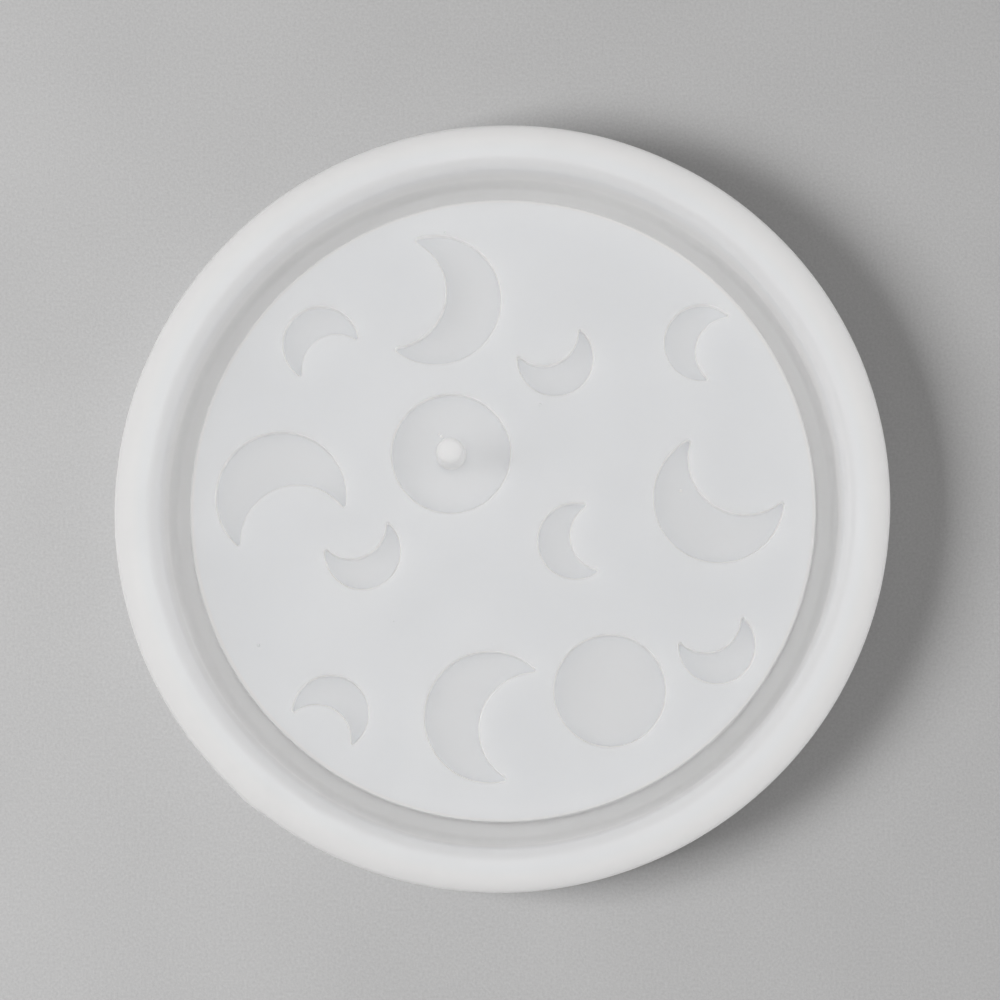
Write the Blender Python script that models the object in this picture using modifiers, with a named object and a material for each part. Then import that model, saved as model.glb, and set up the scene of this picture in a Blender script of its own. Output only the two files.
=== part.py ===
"""Round open-faced silicone mould that casts a moon-phase incense tray.

Blender 4.5, metres, +Z up, origin at the middle of the flat underside.

The whole mould is one casting, so it is one solid: a turned body with a flat rim, a ring groove
that casts the tray's raised lip, a plateau that casts the tray's floor, shallow moon pockets sunk
into the plateau, and a tapered pin that leaves the hole for an incense stick.
"""

from math import atan2, cos, pi, radians, sin, sqrt, tan

import bmesh
import bpy

MM = 0.001

# Driving dimensions. Radii are from the mould's axis, heights from its underside.
OUTER_RADIUS = 62.5 * MM
BODY_HEIGHT = 12.0 * MM
SKIN_THICKNESS = 2.0 * MM       # silicone left under the ring groove
TRAY_THICKNESS = 6.0 * MM       # from the rim down to the plateau: the cast tray's floor
RIM_WIDTH = 5.0 * MM            # the flat top of the rim, its rounded outer edge included
SHOULDER_RADIUS = 2.2 * MM      # roll from the rim's top into the groove
GROOVE_FLOOR_WIDTH = 2.25 * MM   # flat at the bottom of the groove
GROOVE_FILLET = 1.6 * MM        # groove floor to the shoulder's wall
GROOVE_DRAFT = radians(4.0)     # lean of the groove's outer wall
PLATEAU_EDGE_RADIUS = 0.25 * MM
RIM_EDGE_RADIUS = 0.5 * MM      # outer top edge
BASE_EDGE_RADIUS = 0.4 * MM     # outer bottom edge
POCKET_DEPTH = 1.5 * MM
PIN_BASE_RADIUS = 2.3 * MM
PIN_TOP_RADIUS = 2.1 * MM
PIN_END_RADIUS = 0.5 * MM
PIN_TOP_BELOW_RIM = 1.0 * MM

# Facets
BODY_SEGMENTS = 128
PIN_SEGMENTS = 24
EDGE_STEPS = 2                  # facets round a small edge
SHOULDER_STEPS = 6
TIP_STEPS = 3
OUTLINE_STEP = radians(10.0)    # turn of one facet along a moon's outline

# Derived heights
PLATEAU_HEIGHT = BODY_HEIGHT - TRAY_THICKNESS
POCKET_FLOOR_HEIGHT = PLATEAU_HEIGHT - POCKET_DEPTH
PIN_TOP_HEIGHT = BODY_HEIGHT - PIN_TOP_BELOW_RIM

# Derived radii, from the rim inwards
RIM_INNER_RADIUS = OUTER_RADIUS - RIM_WIDTH
WALL_TOP_HEIGHT = BODY_HEIGHT - SHOULDER_RADIUS * (1.0 - sin(GROOVE_DRAFT))
WALL_TOP_RADIUS = RIM_INNER_RADIUS - SHOULDER_RADIUS * cos(GROOVE_DRAFT)
WALL_FOOT_HEIGHT = SKIN_THICKNESS + GROOVE_FILLET * (1.0 - sin(GROOVE_DRAFT))
WALL_FOOT_RADIUS = WALL_TOP_RADIUS - (WALL_TOP_HEIGHT - WALL_FOOT_HEIGHT) * tan(GROOVE_DRAFT)
GROOVE_OUTER_RADIUS = WALL_FOOT_RADIUS - GROOVE_FILLET * cos(GROOVE_DRAFT)
PLATEAU_RADIUS = GROOVE_OUTER_RADIUS - GROOVE_FLOOR_WIDTH

# Moon shapes, in shares of the plateau's radius, so that the pattern always fills the plateau.
# A crescent is a disc less a second disc, whose middle is moved towards the open side.
CRESCENTS = {
    "large": {"radius": 0.208, "bite_radius": 0.183, "bite_shift": 0.151, "tip_radius": 0.0065},
    "small": {"radius": 0.121, "bite_radius": 0.114, "bite_shift": 0.095, "tip_radius": 0.0045},
}

# Each crescent: name, kind, middle of its disc in plateau radii, and the heading of its open side
# in degrees, counted from +X towards +Y.
CRESCENT_PLACES = [
    ("moon_top", "large", (-0.214, 0.676), 170.0),
    ("moon_left", "large", (-0.709, 0.040), -70.0),
    ("moon_right", "large", (0.692, 0.034), 56.0),
    ("moon_bottom", "large", (-0.038, -0.667), -15.0),
    ("moon_upper_left", "small", (-0.585, 0.534), -57.0),
    ("moon_upper_middle", "small", (0.169, 0.486), 114.0),
    ("moon_upper_right", "small", (0.641, 0.533), -18.0),
    ("moon_middle_left", "small", (-0.447, -0.135), 113.0),
    ("moon_middle", "small", (0.235, -0.104), 10.0),
    ("moon_lower_left", "small", (-0.547, -0.655), -119.0),
    ("moon_lower_right", "small", (0.684, -0.440), 112.0),
]

# Each full moon: name, middle and radius, both in plateau radii.
PIN_MOON = ("full_moon_with_pin", (-0.165, 0.178), 0.190)
PLAIN_MOON = ("full_moon", (0.343, -0.584), 0.177)

# Cutters start in the open air above the plateau, and the pin is rooted below its pocket's floor.
CUT_CLEARANCE = 1.0 * MM
PIN_ROOT = 1.0 * MM
WELD_DISTANCE = 0.001 * MM


def clear_scene():
    for thing in list(bpy.data.objects):
        bpy.data.objects.remove(thing, do_unlink=True)


def new_collection(name):
    collection = bpy.data.collections.new(name)
    bpy.context.scene.collection.children.link(collection)
    return collection


def arc(centre, radius, start, end, steps):
    """Points on an arc from the angle start to the angle end, both ends included."""
    turns = [start + (end - start) * n / steps for n in range(steps + 1)]
    return [(centre[0] + radius * cos(t), centre[1] + radius * sin(t)) for t in turns]


def body_section():
    """Half of the body's section as (radius, height), from the plateau's edge over the groove
    and the rim to the underside. It stops where the plateau and the underside are flat discs."""
    quarter = pi / 2.0
    plateau_edge = arc(
        (PLATEAU_RADIUS - PLATEAU_EDGE_RADIUS, PLATEAU_HEIGHT - PLATEAU_EDGE_RADIUS),
        PLATEAU_EDGE_RADIUS, quarter, 0.0, EDGE_STEPS,
    )
    groove_foot = [(PLATEAU_RADIUS, SKIN_THICKNESS)]
    fillet = arc(
        (GROOVE_OUTER_RADIUS, SKIN_THICKNESS + GROOVE_FILLET),
        GROOVE_FILLET, -quarter, -GROOVE_DRAFT, EDGE_STEPS,
    )
    shoulder = arc(
        (RIM_INNER_RADIUS, BODY_HEIGHT - SHOULDER_RADIUS),
        SHOULDER_RADIUS, pi - GROOVE_DRAFT, quarter, SHOULDER_STEPS,
    )
    rim_edge = arc(
        (OUTER_RADIUS - RIM_EDGE_RADIUS, BODY_HEIGHT - RIM_EDGE_RADIUS),
        RIM_EDGE_RADIUS, quarter, 0.0, EDGE_STEPS,
    )
    base_edge = arc(
        (OUTER_RADIUS - BASE_EDGE_RADIUS, BASE_EDGE_RADIUS),
        BASE_EDGE_RADIUS, 0.0, -quarter, EDGE_STEPS,
    )
    return plateau_edge + groove_foot + fillet + shoulder + rim_edge + base_edge


def pin_section():
    """Half of the pin's section, from the middle of its top to the middle of its root."""
    lean = atan2(PIN_BASE_RADIUS - PIN_TOP_RADIUS, PIN_TOP_HEIGHT - POCKET_FLOOR_HEIGHT)
    root_height = POCKET_FLOOR_HEIGHT - PIN_ROOT
    end = arc(
        (PIN_TOP_RADIUS - PIN_END_RADIUS, PIN_TOP_HEIGHT - PIN_END_RADIUS),
        PIN_END_RADIUS, pi / 2.0, lean, EDGE_STEPS,
    )
    foot = [(PIN_BASE_RADIUS, POCKET_FLOOR_HEIGHT), (PIN_BASE_RADIUS, root_height)]
    return end + foot


def turned(name, section, segments, collection):
    """A closed solid: the section turned about the Z axis by a Screw modifier, and its two open
    ends closed with flat discs."""
    mesh = bpy.data.meshes.new(name + "_section")
    points = [(radius, 0.0, height) for radius, height in section]
    mesh.from_pydata(points, [(n, n + 1) for n in range(len(points) - 1)], [])
    profile = bpy.data.objects.new(name + "_section", mesh)
    collection.objects.link(profile)
    screw = profile.modifiers.new("turn", "SCREW")
    screw.steps = segments
    screw.render_steps = segments
    screw.use_merge_vertices = True
    screw.merge_threshold = WELD_DISTANCE
    solid = made_mesh(profile, name, collection)
    shape = bmesh.new()
    shape.from_mesh(solid.data)
    open_edges = [edge for edge in shape.edges if edge.is_boundary]
    bmesh.ops.holes_fill(shape, edges=open_edges, sides=0)
    bmesh.ops.recalc_face_normals(shape, faces=shape.faces)
    shape.to_mesh(solid.data)
    shape.free()
    return solid


def made_mesh(source, name, collection):
    """A plain mesh object with the evaluated shape of source, which it takes the place of."""
    graph = bpy.context.evaluated_depsgraph_get()
    graph.update()
    mesh = bpy.data.meshes.new_from_object(source.evaluated_get(graph))
    mesh.name = name
    made = bpy.data.objects.new(name, mesh)
    made.matrix_world = source.matrix_world
    collection.objects.link(made)
    bpy.data.objects.remove(source, do_unlink=True)
    shape = bmesh.new()
    shape.from_mesh(mesh)
    bmesh.ops.remove_doubles(shape, verts=shape.verts, dist=WELD_DISTANCE)
    shape.to_mesh(mesh)
    shape.free()
    return made


def crescent_outline(radius, bite_radius, bite_shift, tip_radius):
    """A crescent round the origin, open towards +X, with both tips rounded. Each tip's circle
    touches the disc from inside and the bite from outside, which fixes its middle."""
    inside = radius - tip_radius
    outside = bite_radius + tip_radius
    tip_x = (bite_shift**2 + inside**2 - outside**2) / (2.0 * bite_shift)
    tip_y = sqrt(inside**2 - tip_x**2)
    disc_turn = atan2(tip_y, tip_x)
    bite_turn = atan2(tip_y, tip_x - bite_shift)
    disc_steps = max(8, round((2.0 * pi - 2.0 * disc_turn) / OUTLINE_STEP))
    bite_steps = max(6, round((2.0 * pi - 2.0 * bite_turn) / OUTLINE_STEP))
    disc = arc((0.0, 0.0), radius, disc_turn, 2.0 * pi - disc_turn, disc_steps)
    bite = arc((bite_shift, 0.0), bite_radius, 2.0 * pi - bite_turn, bite_turn, bite_steps)
    lower_tip = arc(
        (tip_x, -tip_y), tip_radius, -disc_turn, pi - bite_turn, TIP_STEPS
    )
    upper_tip = arc(
        (tip_x, tip_y), tip_radius, bite_turn - pi, disc_turn, TIP_STEPS
    )
    return disc[:-1] + lower_tip[:-1] + bite[:-1] + upper_tip[:-1]


def circle_outline(radius):
    steps = round(2.0 * pi / OUTLINE_STEP)
    return arc((0.0, 0.0), radius, 0.0, 2.0 * pi, steps)[:-1]


def pocket_cutter(name, outline, centre, heading, collection):
    """A prism on the outline, from the pocket's floor to the open air above the plateau."""
    depth = POCKET_DEPTH + CUT_CLEARANCE
    curve = bpy.data.curves.new(name + "_outline", "CURVE")
    curve.dimensions = "2D"
    curve.fill_mode = "BOTH"
    curve.extrude = depth / 2.0
    spline = curve.splines.new("POLY")
    spline.points.add(len(outline) - 1)
    for point, (x, y) in zip(spline.points, outline):
        point.co = (x, y, 0.0, 1.0)
    spline.use_cyclic_u = True
    flat = bpy.data.objects.new(name + "_outline", curve)
    flat.location = (centre[0], centre[1], POCKET_FLOOR_HEIGHT + depth / 2.0)
    flat.rotation_euler = (0.0, 0.0, heading)
    collection.objects.link(flat)
    bpy.context.view_layer.update()
    cutter = made_mesh(flat, name, collection)
    return cutter


def hide_tool(thing):
    thing.hide_render = True
    thing.display_type = "WIRE"


def silicone():
    """Translucent white platinum silicone, soft satin where it was cast against a smooth master."""
    material = bpy.data.materials.new("white_silicone")
    material.use_nodes = True
    shader = material.node_tree.nodes["Principled BSDF"]
    shader.inputs["Base Color"].default_value = (0.80, 0.82, 0.83, 1.0)
    shader.inputs["Roughness"].default_value = 0.42
    shader.inputs["Metallic"].default_value = 0.0
    return material


def moon_cutters(collection):
    """A cutter for every pocket, placed on the plateau."""
    for name, kind, (x, y), heading in CRESCENT_PLACES:
        sizes = {key: share * PLATEAU_RADIUS for key, share in CRESCENTS[kind].items()}
        centre = (x * PLATEAU_RADIUS, y * PLATEAU_RADIUS)
        outline = crescent_outline(**sizes)
        hide_tool(pocket_cutter(name, outline, centre, radians(heading), collection))
    for name, (x, y), share in (PIN_MOON, PLAIN_MOON):
        centre = (x * PLATEAU_RADIUS, y * PLATEAU_RADIUS)
        outline = circle_outline(share * PLATEAU_RADIUS)
        hide_tool(pocket_cutter(name, outline, centre, 0.0, collection))


def incense_pin(collection):
    """The pin's solid, standing in the middle of its full moon."""
    pin = turned("pin", pin_section(), PIN_SEGMENTS, collection)
    _, (x, y), _ = PIN_MOON
    pin.location = (x * PLATEAU_RADIUS, y * PLATEAU_RADIUS, 0.0)
    hide_tool(pin)
    return pin


def mould_body(parts, pockets, tools):
    """The mould: the turned body, less every moon pocket, with the pin joined on."""
    body = turned("mould_body", body_section(), BODY_SEGMENTS, parts)
    body.data.materials.append(silicone())
    moon_cutters(pockets)
    cut = body.modifiers.new("moon_pockets", "BOOLEAN")
    cut.operation = "DIFFERENCE"
    cut.operand_type = "COLLECTION"
    cut.collection = pockets
    cut.solver = "EXACT"
    join = body.modifiers.new("incense_pin", "BOOLEAN")
    join.operation = "UNION"
    join.object = incense_pin(tools)
    join.solver = "EXACT"
    body.data.shade_smooth()
    body.data.set_sharp_from_angle(angle=radians(35.0))
    return body


clear_scene()
mould_body(
    new_collection("moon_tray_mould"),
    new_collection("pocket_cutters"),
    new_collection("joined_tools"),
)
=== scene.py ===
"""The looks of a round silicone mould for a moon-phase incense tray, lying face up on a board."""

from math import cos, pi, radians, sin

import bpy
from mathutils import Matrix, Vector


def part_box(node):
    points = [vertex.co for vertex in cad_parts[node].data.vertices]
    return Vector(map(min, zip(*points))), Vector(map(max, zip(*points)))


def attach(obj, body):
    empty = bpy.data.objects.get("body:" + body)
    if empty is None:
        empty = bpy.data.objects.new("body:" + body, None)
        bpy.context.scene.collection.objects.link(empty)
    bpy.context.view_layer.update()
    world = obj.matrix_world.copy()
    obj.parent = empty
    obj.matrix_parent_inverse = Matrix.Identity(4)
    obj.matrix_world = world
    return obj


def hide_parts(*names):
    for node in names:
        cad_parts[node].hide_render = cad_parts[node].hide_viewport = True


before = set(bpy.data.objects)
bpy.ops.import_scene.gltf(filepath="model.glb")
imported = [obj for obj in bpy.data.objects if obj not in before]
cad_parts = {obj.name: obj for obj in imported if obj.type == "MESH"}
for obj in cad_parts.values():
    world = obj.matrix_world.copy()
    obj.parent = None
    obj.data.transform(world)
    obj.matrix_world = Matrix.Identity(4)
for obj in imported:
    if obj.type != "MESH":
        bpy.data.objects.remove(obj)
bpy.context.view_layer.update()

# ---------------------------------------------------------------------------------------------
# The casting. The whole mould is one skin of translucent white platinum silicone, poured over a
# polished master and peeled off it, so rim, ring groove, plateau, pockets and pin are one piece.
# ---------------------------------------------------------------------------------------------

MM = 0.001
lowest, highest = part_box("mould_body")
SIZES = {
    "Outer Radius": (highest.x - lowest.x) / 2.0,
    "Body Height": highest.z,
    "Skin Thickness": 2.0 * MM,
    "Tray Thickness": 6.0 * MM,
    "Rim Width": 5.0 * MM,
    "Shoulder Radius": 2.2 * MM,
    "Groove Floor Width": 2.25 * MM,
    "Groove Fillet": 1.6 * MM,
    "Groove Draft": radians(4.0),
    "Plateau Edge Radius": 0.25 * MM,
    "Rim Edge Radius": 0.5 * MM,
    "Base Edge Radius": 0.4 * MM,
    "Pocket Depth": 1.5 * MM,
    "Pocket Draft": 0.12 * MM,
    "Pocket Lip Radius": 0.18 * MM,
    "Pocket Foot Radius": 0.15 * MM,
    "Pin Base Radius": 2.3 * MM,
    "Pin Top Radius": 2.1 * MM,
    "Pin End Radius": 0.5 * MM,
    "Pin Below Rim": 1.0 * MM,
    "Rim Ovality": 0.0058,
    "Tray Ovality": 0.0020,
    "Flash Height": 0.30 * MM,
    "Hand Wobble": 0.10 * MM,
}
PLATEAU_RADIUS = 51.0 * MM

# Moons in shares of the plateau's radius: the disc, the bite taken out of it, how far the bite's
# middle is moved towards the open side, and the rounding of the two tips. Each moon then has its
# place and the way it opens, in degrees. A full moon has no bite.
LARGE = (0.208, 0.183, 0.151, 0.0065)
SMALL = (0.121, 0.114, 0.095, 0.0045)
PIN_PLACE = (-0.165, 0.178)
MOONS = [
    (LARGE, (-0.214, 0.676), 170.0),
    (LARGE, (-0.709, 0.040), -70.0),
    (LARGE, (0.692, 0.034), 56.0),
    (LARGE, (-0.038, -0.667), -15.0),
    (SMALL, (-0.585, 0.534), -57.0),
    (SMALL, (0.169, 0.486), 114.0),
    (SMALL, (0.641, 0.533), -18.0),
    (SMALL, (-0.447, -0.135), 113.0),
    (SMALL, (0.235, -0.104), 10.0),
    (SMALL, (-0.547, -0.655), -119.0),
    (SMALL, (0.684, -0.440), 112.0),
    ((0.190, 0.0, 0.0, 0.0), PIN_PLACE, 0.0),
    ((0.177, 0.0, 0.0, 0.0), (0.343, -0.584), 0.0),
]

# Burst air bubbles leave small nubs: place in shares of the plateau's radius, and radius in mm.
PLATEAU_NUBS = [((-0.777, -0.436), 0.30), ((-0.344, -0.359), 0.20), ((0.121, 0.334), 0.24),
                ((-0.187, 0.896), 0.20)]
POCKET_NUBS = [((0.571, 0.058), 0.26), ((-0.196, 0.236), 0.30), ((-0.205, 0.243), 0.16)]


class Value:
    """A number socket, which expressions use as they would a plain number."""

    def __init__(self, nodes, socket):
        self.nodes = nodes
        self.socket = socket

    def __add__(self, other):
        return self.nodes.math("ADD", self, other)

    def __radd__(self, other):
        return self.nodes.math("ADD", other, self)

    def __sub__(self, other):
        return self.nodes.math("SUBTRACT", self, other)

    def __rsub__(self, other):
        return self.nodes.math("SUBTRACT", other, self)

    def __mul__(self, other):
        return self.nodes.math("MULTIPLY", self, other)

    def __rmul__(self, other):
        return self.nodes.math("MULTIPLY", other, self)

    def __truediv__(self, other):
        return self.nodes.math("DIVIDE", self, other)

    def __rtruediv__(self, other):
        return self.nodes.math("DIVIDE", other, self)

    def __neg__(self):
        return self.nodes.math("MULTIPLY", self, -1.0)

    def __lt__(self, other):
        return self.nodes.math("LESS_THAN", self, other)

    def __gt__(self, other):
        return self.nodes.math("GREATER_THAN", self, other)


class Nodes:
    """One node tree. A new node takes its settings first, and then values or links for its
    sockets, each named by its label or its number."""

    def __init__(self, tree):
        self.tree = tree

    def add(self, kind, settings=(), sockets=()):
        node = self.tree.nodes.new(kind)
        for name, value in dict(settings).items():
            if name == "stops":
                self.stop(node.color_ramp.elements, value)
            else:
                setattr(node, name, value)
        for name, value in dict(sockets).items():
            self.plug(node.inputs[name], value)
        return node

    def stop(self, elements, stops):
        """Sets a colour ramp's stops: (place, colour)."""
        for place, _ in stops[2:]:
            elements.new(place)
        for element, (place, colour) in zip(elements, stops):
            element.position = place
            element.color = (*colour, 1.0)

    def plug(self, socket, value):
        if isinstance(value, Value):
            value = value.socket
        if isinstance(value, bpy.types.NodeSocket):
            self.tree.links.new(value, socket)
        else:
            socket.default_value = value

    def value(self, kind, settings=(), sockets=(), output=0):
        return Value(self, self.add(kind, settings, sockets).outputs[output])

    def math(self, operation, *terms):
        return self.value("ShaderNodeMath", {"operation": operation}, enumerate(terms))

    def vector(self, x, y, z=0.0):
        return self.add("ShaderNodeCombineXYZ", (), {"X": x, "Y": y, "Z": z}).outputs[0]

    def mixed(self, share, first, second, blend="MIX"):
        """The first colour, going over to the second as share rises from 0 to 1."""
        settings = {"data_type": "RGBA", "blend_type": blend}
        return self.add("ShaderNodeMix", settings, {0: share, 6: first, 7: second}).outputs[2]

    def chosen(self, kind, index, choices):
        """The choice with that index: one number or vector for each point of a line."""
        node = self.add("GeometryNodeIndexSwitch", {"data_type": kind})
        for _ in choices[2:]:
            node.index_switch_items.new()
        self.plug(node.inputs["Index"], index)
        for number, choice in enumerate(choices):
            self.plug(node.inputs[str(number)], choice)
        return node.outputs[0]


def section(nodes, corners, steps):
    """A wall's section: straight runs between corners (out, up, rounding radius)."""
    index = nodes.add("GeometryNodeInputIndex").outputs[0]
    points = [nodes.vector(out, -1.0 * up) for out, up, _ in corners]
    line = nodes.add("GeometryNodeMeshLine", (), {"Count": len(corners)}).outputs[0]
    placed = nodes.add("GeometryNodeSetPosition", (), {
        "Geometry": line,
        "Position": nodes.chosen("VECTOR", index, points),
    }).outputs[0]
    curve = nodes.add("GeometryNodeMeshToCurve", (), {"Mesh": placed}).outputs[0]
    return nodes.add("GeometryNodeFilletCurve", {"mode": "POLY"}, {
        "Curve": curve,
        "Count": steps,
        "Radius": nodes.chosen("FLOAT", index, [rounding for _, _, rounding in corners]),
    }).outputs[0]


def swept(nodes, path, profile):
    """The skin that a section leaves along a flat closed path."""
    upright = nodes.add("GeometryNodeSetCurveNormal", {"mode": "Z_UP"}, {"Curve": path})
    skin = nodes.add("GeometryNodeCurveToMesh", (), {
        "Curve": upright.outputs[0],
        "Profile Curve": profile,
    })
    return nodes.add("GeometryNodeSetShadeSmooth", (), {"Geometry": skin.outputs[0]}).outputs[0]


def ring(nodes, steps, radius):
    return nodes.add("GeometryNodeCurvePrimitiveCircle", (), {
        "Resolution": steps,
        "Radius": radius,
    }).outputs[0]


def body_skin(nodes, size):
    """Plateau edge, groove, shoulder, rim, outer wall and base edge, turned about the axis. Its
    two ends run a little way into the plateau and the underside, which flat faces then close."""
    plateau_end = 1.0 * MM
    base_end = 1.5 * MM
    round_steps = 256
    rim_inner = size["Outer Radius"] - size["Rim Width"]
    lean = nodes.math("TANGENT", size["Groove Draft"])
    half_turn = nodes.math("TANGENT", pi / 4.0 - size["Groove Draft"] * 0.5)
    shoulder = rim_inner - size["Shoulder Radius"] * half_turn
    wall_height = size["Body Height"] - size["Skin Thickness"]
    wall_foot = shoulder - wall_height * lean
    plateau = wall_foot - size["Groove Fillet"] * half_turn - size["Groove Floor Width"]
    plateau_height = size["Body Height"] - size["Tray Thickness"]
    corners = [
        (-plateau_end, plateau_height, 0.0),
        (0.0, plateau_height, size["Plateau Edge Radius"]),
        (0.0, size["Skin Thickness"], size["Groove Fillet"] * 0.25),
        (wall_foot - plateau, size["Skin Thickness"], size["Groove Fillet"]),
        (shoulder - plateau, size["Body Height"], size["Shoulder Radius"]),
        (size["Outer Radius"] - plateau, size["Body Height"], size["Rim Edge Radius"]),
        (size["Outer Radius"] - plateau, 0.0, size["Base Edge Radius"]),
        (size["Outer Radius"] - plateau - base_end, 0.0, 0.0),
    ]
    return swept(nodes, ring(nodes, round_steps, plateau), section(nodes, corners, 7))


def attribute(nodes, name, kind="FLOAT"):
    return nodes.value("GeometryNodeInputNamedAttribute", {"data_type": kind}, {"Name": name})


def moon_outlines(nodes, places):
    """A closed outline for each place. A crescent runs round its disc, one tip, the bite and the
    other tip. Each tip's circle touches the disc from inside and the bite from outside."""
    disc_steps, tip_steps, bite_steps = 54, 8, 30
    starts = [0, disc_steps, disc_steps + tip_steps, disc_steps + tip_steps + bite_steps]
    total = starts[-1] + tip_steps
    step = nodes.value("GeometryNodeSplineParameter", output=2)
    disc = attribute(nodes, "disc")
    bite = attribute(nodes, "bite")
    shift = attribute(nodes, "shift")
    tip = attribute(nodes, "tip")
    turn = attribute(nodes, "turn")
    inside = disc - tip
    outside = bite + tip
    tip_x = (shift * shift + inside * inside - outside * outside) / (2.0 * shift)
    tip_y = nodes.math("SQRT", inside * inside - tip_x * tip_x)
    disc_turn = nodes.math("ARCTAN2", tip_y, tip_x)
    bite_turn = nodes.math("ARCTAN2", tip_y, tip_x - shift)
    part = (step > starts[1] - 0.5) + (step > starts[2] - 0.5) + (step > starts[3] - 0.5)
    counts = [disc_steps, tip_steps, bite_steps, tip_steps]
    begin = nodes.chosen("FLOAT", part, [float(start) for start in starts])
    count = nodes.chosen("FLOAT", part, [float(number) for number in counts])
    along = (step - Value(nodes, begin)) / Value(nodes, count)
    first = Value(nodes, nodes.chosen("FLOAT", part, [
        disc_turn, -disc_turn, 2.0 * pi - bite_turn, bite_turn - pi,
    ]))
    last = Value(nodes, nodes.chosen("FLOAT", part, [
        2.0 * pi - disc_turn, pi - bite_turn, bite_turn, disc_turn,
    ]))
    radius = Value(nodes, nodes.chosen("FLOAT", part, [disc, tip, bite, tip]))
    middle_x = Value(nodes, nodes.chosen("FLOAT", part, [0.0, tip_x, shift, tip_x]))
    middle_y = Value(nodes, nodes.chosen("FLOAT", part, [0.0, -tip_y, 0.0, tip_y]))
    angle = first + (last - first) * along
    crescent = nodes.vector(
        middle_x + radius * nodes.math("COSINE", angle),
        middle_y + radius * nodes.math("SINE", angle),
    )
    round_angle = step * (2.0 * pi / total)
    full = nodes.vector(
        disc * nodes.math("COSINE", round_angle),
        disc * nodes.math("SINE", round_angle),
    )
    local = nodes.add("GeometryNodeSwitch", {"input_type": "VECTOR"}, {
        "Switch": bite > 0.0,
        "False": full,
        "True": crescent,
    }).outputs[0]
    turned = nodes.add("ShaderNodeVectorRotate", {"rotation_type": "Z_AXIS"}, {
        "Vector": local,
        "Angle": turn,
    }).outputs[0]
    copies = nodes.add("GeometryNodeInstanceOnPoints", (), {
        "Points": places,
        "Instance": ring(nodes, total, 1.0),
    }).outputs[0]
    rings = nodes.add("GeometryNodeRealizeInstances", (), {"Geometry": copies}).outputs[0]
    centre = attribute(nodes, "centre", "FLOAT_VECTOR")
    placed = nodes.add("ShaderNodeVectorMath", {"operation": "ADD"}, {0: turned, 1: centre})
    return nodes.add("GeometryNodeSetPosition", (), {
        "Geometry": rings,
        "Position": placed.outputs[0],
    }).outputs[0]


def pocket_skins(nodes, size, places):
    """The walls of the pockets, each with a rounded lip and a rounded foot."""
    floor = -1.0 * size["Pocket Depth"]
    corners = [
        (-1.0 * size["Pocket Foot Radius"], floor, 0.0),
        (0.0, floor, size["Pocket Foot Radius"] * 0.9),
        (size["Pocket Draft"], 0.0, size["Pocket Lip Radius"]),
        (size["Pocket Draft"] + size["Pocket Lip Radius"], 0.0, 0.0),
    ]
    walls = swept(nodes, moon_outlines(nodes, places), section(nodes, corners, 4))
    height = size["Body Height"] - size["Tray Thickness"]
    return nodes.add("GeometryNodeTransform", (), {
        "Geometry": walls,
        "Translation": nodes.vector(0.0, 0.0, height),
    }).outputs[0]


def pin_skin(nodes, size):
    """The pin, from the middle of its rounded end down to the fillet at its foot."""
    foot_fillet = 0.3 * MM
    foot_end = 0.6 * MM
    floor = size["Body Height"] - size["Tray Thickness"] - size["Pocket Depth"]
    base = size["Pin Base Radius"]
    corners = [
        (-1.0 * base, size["Body Height"] - size["Pin Below Rim"], 0.0),
        (size["Pin Top Radius"] - base, size["Body Height"] - size["Pin Below Rim"],
         size["Pin End Radius"]),
        (0.0, floor, foot_fillet),
        (foot_end, floor, 0.0),
    ]
    skin = swept(nodes, ring(nodes, 48, base), section(nodes, corners, 6))
    return nodes.add("GeometryNodeTransform", (), {
        "Geometry": skin,
        "Translation": [share * PLATEAU_RADIUS for share in PIN_PLACE] + [0.0],
    }).outputs[0]


def nub_skins(nodes, nubs, height):
    """Low domes on a flat face, open at the foot, where the face closes round them."""
    corners = [(-1.0, 1.0, 0.0), (0.0, 1.0, 0.85), (0.0, 0.0, 0.0)]
    dome = swept(nodes, ring(nodes, 14, 1.0), section(nodes, corners, 4))
    skins = []
    for (x, y), radius in nubs:
        skins.append(nodes.add("GeometryNodeTransform", (), {
            "Geometry": dome,
            "Translation": nodes.vector(x * PLATEAU_RADIUS, y * PLATEAU_RADIUS, height),
            "Scale": (radius * MM, radius * MM, radius * 0.7 * MM),
        }).outputs[0])
    return joined(nodes, skins)


def flat_between(nodes, skins, height, facing_down=False):
    """A flat face at one height, bounded by the open edges that the skins have there: the ones
    with a single face beside them."""
    faces = nodes.value("GeometryNodeInputMeshEdgeNeighbors")
    place = nodes.add("GeometryNodeInputPosition").outputs[0]
    level = nodes.value("ShaderNodeSeparateXYZ", (), {0: place}, output=2)
    here = nodes.math("ABSOLUTE", level - height) < 0.01 * MM
    rims = nodes.add("GeometryNodeMeshToCurve", (), {
        "Mesh": skins,
        "Selection": here * (faces < 1.5),
    }).outputs[0]
    flat = nodes.add("GeometryNodeFillCurve", {"mode": "TRIANGLES"}, {"Curve": rims}).outputs[0]
    if facing_down:
        flat = nodes.add("GeometryNodeFlipFaces", (), {"Mesh": flat}).outputs[0]
    lifted = nodes.add("GeometryNodeTransform", (), {
        "Geometry": flat,
        "Translation": nodes.vector(0.0, 0.0, height),
    }).outputs[0]
    return nodes.add("GeometryNodeSetShadeSmooth", (), {
        "Geometry": lifted,
        "Shade Smooth": False,
    }).outputs[0]


def joined(nodes, geometries):
    node = nodes.add("GeometryNodeJoinGeometry")
    for geometry in geometries:
        nodes.tree.links.new(geometry, node.inputs[0])
    return node.outputs[0]


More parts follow.
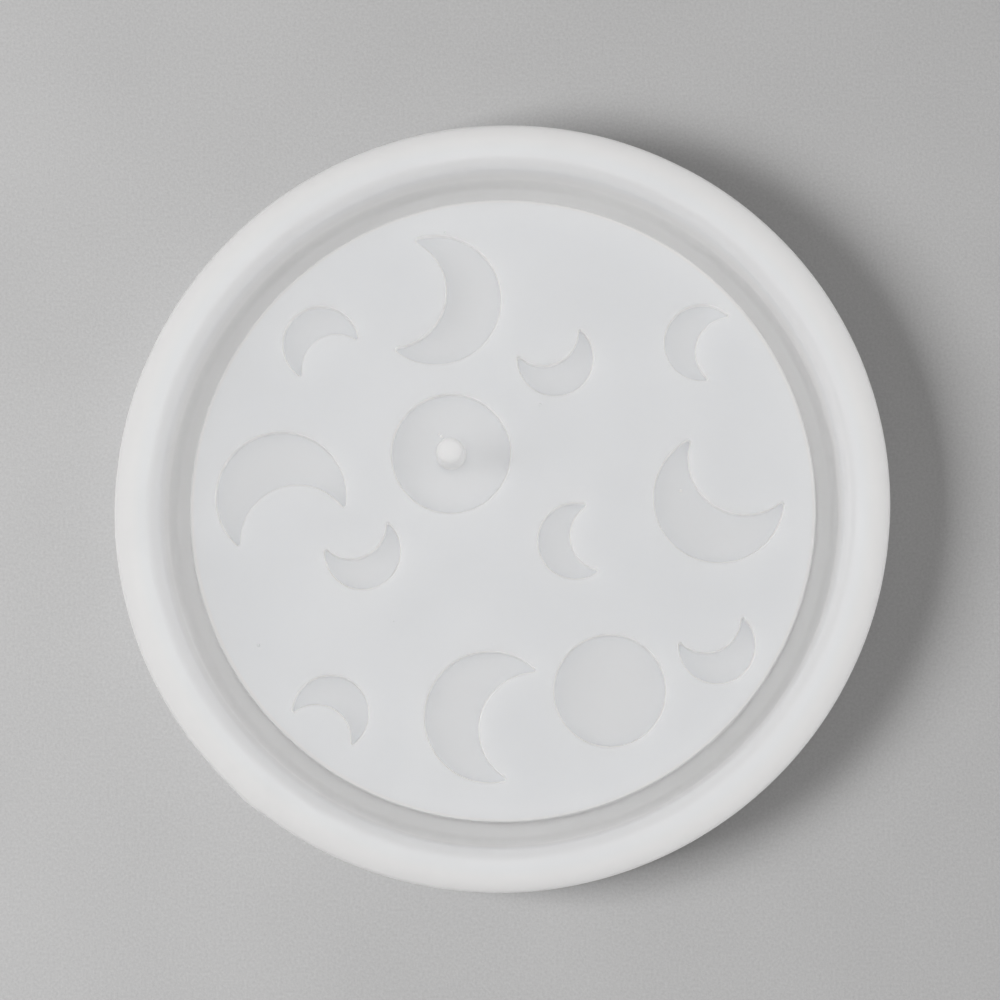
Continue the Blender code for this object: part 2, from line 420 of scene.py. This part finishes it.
def eased(nodes, value, start, end):
    """0 below start, 1 above end, and a smooth rise between them."""
    settings = {"interpolation_type": "SMOOTHSTEP"}
    return nodes.value("ShaderNodeMapRange", settings, {0: value, 1: start, 2: end})


def relaxed(nodes, geometry, size):
    """The casting as it lies: soft silicone settles a little out of round, the rim more than
    the tray, its lines waver, and the pouring seam left a low lump of flash on the edge."""
    long_axis = radians(27.0)
    flash_heading = radians(229.6)
    flash_width = 2.6 * MM
    place = nodes.add("GeometryNodeInputPosition").outputs[0]
    parts = nodes.add("ShaderNodeSeparateXYZ", (), {0: place}).outputs
    x = Value(nodes, parts[0])
    y = Value(nodes, parts[1])
    reach = nodes.math("SQRT", x * x + y * y)
    at_rim = eased(nodes, reach, 53.0 * MM, 60.0 * MM)
    oval = size["Tray Ovality"] + (size["Rim Ovality"] - size["Tray Ovality"]) * at_rim
    oval_x = oval * (x * cos(2.0 * long_axis) + y * sin(2.0 * long_axis))
    oval_y = oval * (x * sin(2.0 * long_axis) - y * cos(2.0 * long_axis))
    along_x = x - size["Outer Radius"] * cos(flash_heading)
    along_y = y - size["Outer Radius"] * sin(flash_heading)
    away = (along_x * along_x + along_y * along_y) / (flash_width * flash_width)
    lump = size["Flash Height"] * nodes.math("EXPONENT", -away)
    lump = lump * eased(nodes, reach, 60.5 * MM, 62.4 * MM)
    noise = nodes.add("ShaderNodeTexNoise", (), {"Vector": place, "Scale": 70.0, "Detail": 1.0})
    drift = nodes.add("ShaderNodeSeparateXYZ", (), {0: noise.outputs["Color"]}).outputs
    wobble_x = size["Hand Wobble"] * (Value(nodes, drift[0]) - 0.5)
    wobble_y = size["Hand Wobble"] * (Value(nodes, drift[1]) - 0.5)
    return nodes.add("GeometryNodeSetPosition", (), {
        "Geometry": geometry,
        "Offset": nodes.vector(
            oval_x + wobble_x + lump * cos(flash_heading),
            oval_y + wobble_y + lump * sin(flash_heading),
        ),
    }).outputs[0]


def casting_tree():
    tree = bpy.data.node_groups.new("silicone_casting", "GeometryNodeTree")
    tree.is_modifier = True
    face = tree.interface
    face.new_socket("Moon Places", in_out="INPUT", socket_type="NodeSocketGeometry")
    for name in SIZES:
        face.new_socket(name, in_out="INPUT", socket_type="NodeSocketFloat")
    face.new_socket("Silicone", in_out="INPUT", socket_type="NodeSocketMaterial")
    face.new_socket("Casting", in_out="OUTPUT", socket_type="NodeSocketGeometry")
    nodes = Nodes(tree)
    given = nodes.add("NodeGroupInput").outputs
    size = {name: Value(nodes, given[name]) for name in SIZES}
    plateau_height = size["Body Height"] - size["Tray Thickness"]
    skins = joined(nodes, [
        body_skin(nodes, size),
        pocket_skins(nodes, size, given["Moon Places"]),
        pin_skin(nodes, size),
        nub_skins(nodes, PLATEAU_NUBS, plateau_height),
        nub_skins(nodes, POCKET_NUBS, plateau_height - size["Pocket Depth"]),
    ])
    whole = joined(nodes, [
        skins,
        flat_between(nodes, skins, plateau_height),
        flat_between(nodes, skins, plateau_height - size["Pocket Depth"]),
        flat_between(nodes, skins, 0.0, facing_down=True),
    ])
    welded = nodes.add("GeometryNodeMergeByDistance", (), {
        "Geometry": whole,
        "Distance": 0.002 * MM,
    }).outputs[0]
    settled = relaxed(nodes, welded, size)
    real = nodes.add("GeometryNodeRealizeInstances", (), {"Geometry": settled}).outputs[0]
    dressed = nodes.add("GeometryNodeSetMaterial", (), {
        "Geometry": real,
        "Material": given["Silicone"],
    }).outputs[0]
    nodes.add("NodeGroupOutput", (), {"Casting": dressed})
    return tree


def toned(nodes, length, end, stops):
    """The colour for a length, from stops (length, colour) between 0 and end."""
    shares = [(place / end, colour) for place, colour in stops]
    return nodes.add("ShaderNodeValToRGB", {"stops": shares}, {0: length / end}).outputs[0]


def grey(level):
    return (level, level, level)


def silicone_tone(nodes, up, reach, pin_painted_light_mask):
    """The silicone's colour, by height in the tray and in the groove, and by distance from
    the axis on the rim, with painted light and shade in it: the pockets' steep walls, the
    groove's floor, the rim's outer edge and the pin are painted whiter against their shade,
    and the groove's upper wall is painted darker."""
    plateau = SIZES["Body Height"] - SIZES["Tray Thickness"]
    pocket = plateau - SIZES["Pocket Depth"]
    in_groove = eased(nodes, reach, 50.2 * MM, 50.8 * MM)
    in_rim = eased(nodes, reach, 56.2 * MM, 58.5 * MM)
    painted_edge_light_mask = eased(nodes, reach, 58.2 * MM, 61.8 * MM)
    # Painted light: the pockets' steep walls are painted whiter than their floors and the plateau,
    # to lift the shade on them.
    tray = toned(nodes, up, highest.z, [
        (pocket + 0.0024 * MM, (0.884, 0.898, 0.918)),
        (pocket + 0.018 * MM, (0.985, 0.987, 0.988)),
        (plateau - 0.048 * MM, (0.975, 0.978, 0.980)),
        (plateau - 0.0024 * MM, (0.886, 0.903, 0.926)),
    ])
    # Painted light and shade: the groove's floor and foot are painted whiter against the shade of
    # its walls, and its upper wall is painted darker.
    groove = toned(nodes, up, highest.z, [
        (2.004 * MM, (0.985, 0.983, 0.982)),
        (2.04 * MM, (0.988, 0.986, 0.985)),
        (3.84 * MM, (0.970, 0.970, 0.970)),
        (6.00 * MM, (0.897, 0.897, 0.897)),
        (10.2 * MM, (0.876, 0.882, 0.892)),
    ])
    inner = nodes.mixed(in_groove, tray, groove)
    rimmed = nodes.mixed(in_rim, inner, (0.900, 0.916, 0.937, 1.0))
    # Painted highlight: the rim's outer edge is painted whiter.
    with_painted_edge_light = nodes.mixed(painted_edge_light_mask, rimmed, (0.985, 0.990, 0.995, 1.0))
    # Painted light: the pin is painted whiter.
    return nodes.mixed(pin_painted_light_mask, with_painted_edge_light, (0.985, 0.988, 0.990, 1.0))


def carried_light(nodes, up, reach, pin_painted_light_mask):
    """A painted glow, as faint emission, on the pockets' walls, at both edges of the groove's
    floor and up the pin, in place of the light that the silicone carries there."""
    plateau = SIZES["Body Height"] - SIZES["Tray Thickness"]
    pocket = plateau - SIZES["Pocket Depth"]
    # Painted glow on the pockets' walls.
    walls = toned(nodes, up, highest.z, [
        (pocket + 0.0024 * MM, grey(0.0)),
        (pocket + 0.06 * MM, grey(0.055)),
        (plateau - 0.072 * MM, grey(0.055)),
        (plateau - 0.0024 * MM, grey(0.0)),
    ])
    # Painted glow at both edges of the groove's floor.
    groove = toned(nodes, reach, 100.0 * MM, [
        (50.5 * MM, grey(0.0)),
        (51.5 * MM, grey(0.030)),
        (52.5 * MM, grey(0.0)),
        (53.2 * MM, grey(0.0)),
        (54.3 * MM, grey(0.035)),
        (55.0 * MM, grey(0.040)),
        (56.5 * MM, grey(0.0)),
    ])
    lit = nodes.mixed(reach < 50.5 * MM, groove, walls)
    return nodes.mixed(pin_painted_light_mask, lit, (0.025, 0.025, 0.025, 1.0))


def silicone():
    """Translucent white silicone: light scatters some millimetres deep in it, the colour is
    faintly cloudy, and the surface has a satin sheen with the master's fine grain."""
    material = bpy.data.materials.new("white_silicone")
    material.use_nodes = True
    material.node_tree.nodes.clear()
    nodes = Nodes(material.node_tree)
    place = nodes.add("ShaderNodeTexCoord").outputs["Object"]
    parts = nodes.add("ShaderNodeSeparateXYZ", (), {0: place}).outputs
    x = Value(nodes, parts[0])
    y = Value(nodes, parts[1])
    up = Value(nodes, parts[2])
    reach = nodes.math("SQRT", x * x + y * y)
    pin_x = x - PIN_PLACE[0] * PLATEAU_RADIUS
    pin_y = y - PIN_PLACE[1] * PLATEAU_RADIUS
    pin_reach = nodes.math("SQRT", pin_x * pin_x + pin_y * pin_y)
    # The pin's mask carries the painted light and the painted glow on the pin.
    pin_painted_light_mask = eased(nodes, up, 4.6 * MM, 5.6 * MM) * (pin_reach < 2.7 * MM)
    cloud = nodes.value("ShaderNodeTexNoise", (), {
        "Vector": place, "Scale": 55.0, "Detail": 3.0, "Roughness": 0.55,
    })
    # This tone has painted light and painted shade in it.
    tone = silicone_tone(nodes, up, reach, pin_painted_light_mask)
    clouded = nodes.mixed(cloud, tone, (0.975, 0.977, 0.979, 1.0), "MULTIPLY")
    grain = nodes.value("ShaderNodeTexNoise", (), {
        "Vector": place, "Scale": 2600.0, "Detail": 2.0, "Roughness": 0.6,
    })
    wave = nodes.value("ShaderNodeTexNoise", (), {"Vector": place, "Scale": 95.0, "Detail": 1.0})
    bump = nodes.add("ShaderNodeBump", (), {
        "Strength": 1.0,
        "Distance": 0.03 * MM,
        "Height": grain * 0.12 + wave,
    }).outputs[0]
    shader = nodes.add("ShaderNodeBsdfPrincipled", {"subsurface_method": "RANDOM_WALK"}, {
        "Base Color": clouded,
        "Roughness": 0.40 + 0.14 * (wave - 0.5) + 0.10 * (grain - 0.5),
        "Normal": bump,
        "Subsurface Weight": 1.0,
        "Subsurface Radius": (1.0, 1.0, 1.0),
        "Subsurface Scale": 6.0 * MM,
        "IOR": 1.41,
        # Painted glow: this emission makes the pockets' walls, the groove's floor and the pin glow
        # faintly.
        "Emission Color": carried_light(nodes, up, reach, pin_painted_light_mask),
        "Emission Strength": 1.0,
    })
    nodes.add("ShaderNodeOutputMaterial", (), {"Surface": shader.outputs[0]})
    return material


def moon_places():
    """A point for each moon, which carries its shape."""
    mesh = bpy.data.meshes.new("moon_places")
    centres = [(x * PLATEAU_RADIUS, y * PLATEAU_RADIUS, 0.0) for _, (x, y), _ in MOONS]
    mesh.from_pydata([(0.0, 0.0, 0.0)] * len(MOONS), [], [])
    centre = mesh.attributes.new("centre", "FLOAT_VECTOR", "POINT")
    for slot, place in zip(centre.data, centres):
        slot.vector = place
    for number, name in enumerate(("disc", "bite", "shift", "tip")):
        values = mesh.attributes.new(name, "FLOAT", "POINT")
        for slot, (shape, _, _) in zip(values.data, MOONS):
            slot.value = shape[number] * PLATEAU_RADIUS
    turns = mesh.attributes.new("turn", "FLOAT", "POINT")
    for slot, (_, _, heading) in zip(turns.data, MOONS):
        slot.value = radians(heading)
    return mesh


def made_plain(thing, name):
    """The evaluated shape as a plain mesh, in place of the object that made it."""
    bpy.context.view_layer.update()
    graph = bpy.context.evaluated_depsgraph_get()
    mesh = bpy.data.meshes.new_from_object(thing.evaluated_get(graph))
    bpy.data.objects.remove(thing, do_unlink=True)
    mesh.name = name
    plain = bpy.data.objects.new(name, mesh)
    bpy.context.scene.collection.objects.link(plain)
    return plain


pattern = bpy.data.objects.new("moon_places", moon_places())
bpy.context.scene.collection.objects.link(pattern)
tree = casting_tree()
maker = pattern.modifiers.new("casting", "NODES")
maker.node_group = tree
for socket in tree.interface.items_tree:
    if socket.name in SIZES:
        maker[socket.identifier] = SIZES[socket.name]
    if socket.name == "Silicone":
        maker[socket.identifier] = silicone()
casting = made_plain(pattern, "silicone_casting")
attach(casting, "root")
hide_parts("mould_body")

# ---------------------------------------------------------------------------------------------
# The board that the mould lies on: a pale grey painted sheet with a fine sandy grain.
# ---------------------------------------------------------------------------------------------


def painted_board():
    material = bpy.data.materials.new("pale_board")
    material.use_nodes = True
    material.node_tree.nodes.clear()
    nodes = Nodes(material.node_tree)
    place = nodes.add("ShaderNodeTexCoord").outputs["Object"]
    sand = nodes.value("ShaderNodeTexNoise", (), {
        "Vector": place, "Scale": 2200.0, "Detail": 2.0, "Roughness": 0.7,
    })
    mottle = nodes.value("ShaderNodeTexNoise", (), {"Vector": place, "Scale": 28.0, "Detail": 2.0})
    paint = nodes.add("ShaderNodeValToRGB", {"stops": [
        (0.32, (0.455, 0.455, 0.457)),
        (0.68, (0.545, 0.545, 0.546)),
    ]}, {0: 0.75 * sand + 0.25 * mottle}).outputs[0]
    bump = nodes.add("ShaderNodeBump", (), {
        "Strength": 0.6,
        "Distance": 0.05 * MM,
        "Height": sand,
    }).outputs[0]
    shader = nodes.add("ShaderNodeBsdfPrincipled", (), {
        "Base Color": paint,
        "Roughness": 0.7,
        "Normal": bump,
    })
    nodes.add("ShaderNodeOutputMaterial", (), {"Surface": shader.outputs[0]})
    return material


BOARD_WIDTH = 3.0
BOARD_GAP = 0.05 * MM
bpy.ops.mesh.primitive_grid_add(size=BOARD_WIDTH, location=(0.0, 0.0, -BOARD_GAP))
board = bpy.context.object
board.name = "board"
board.data.materials.append(painted_board())

# ---------------------------------------------------------------------------------------------
# Light and camera. The softbox on the left draws the mould's shadow on the board. Silicone
# spreads such light through its whole body, which hard shadows in it would hide, so the casting
# takes a weaker one, a fill from the right, and the rest as a glow from straight above.
# ---------------------------------------------------------------------------------------------


def area_light(name, place, size, power, receiver):
    lamp = bpy.data.lights.new(name, "AREA")
    lamp.shape = "SQUARE"
    lamp.size = size
    lamp.energy = power
    holder = bpy.data.objects.new(name, lamp)
    holder.location = place
    holder.rotation_euler = (-Vector(place)).to_track_quat("-Z", "Y").to_euler()
    bpy.context.scene.collection.objects.link(holder)
    lit = bpy.data.collections.new(name + "_lights")
    lit.objects.link(receiver)
    holder.light_linking.receiver_collection = lit


area_light("softbox_on_board", (-0.86, -0.12, 0.74), 0.52, 11.4, board)
area_light("softbox_on_casting", (-0.76, 0.02, 0.36), 0.40, 1.3, casting)
area_light("fill_on_casting", (0.62, -0.10, 0.50), 0.90, 1.05, casting)
area_light("glow_on_casting", (-0.05, 0.08, 0.90), 0.30, 1.87, casting)

world = bpy.data.worlds.new("studio")
world.use_nodes = True
surround = world.node_tree.nodes["Background"].inputs
surround["Color"].default_value = (1.0, 0.985, 0.975, 1.0)
surround["Strength"].default_value = 0.37
bpy.context.scene.world = world

VIEW_WIDTH = 161.55 * MM
camera_data = bpy.data.cameras.new("camera")
camera = bpy.data.objects.new("camera", camera_data)
bpy.context.scene.collection.objects.link(camera)
camera.location = (0.014, -0.052, 0.60)
aim = Vector((-0.00022, 0.00086, highest.z))
backwards = (camera.location - aim).normalized()
rightwards = Vector((0.0, 1.0, 0.0)).cross(backwards).normalized()
turn = Matrix((rightwards, backwards.cross(rightwards), backwards)).transposed()
camera.rotation_euler = turn.to_euler()
distance = (camera.location - aim).length
camera_data.lens = camera_data.sensor_width * distance / VIEW_WIDTH
bpy.context.scene.camera = camera
bpy.context.scene.view_settings.view_transform = "Standard"
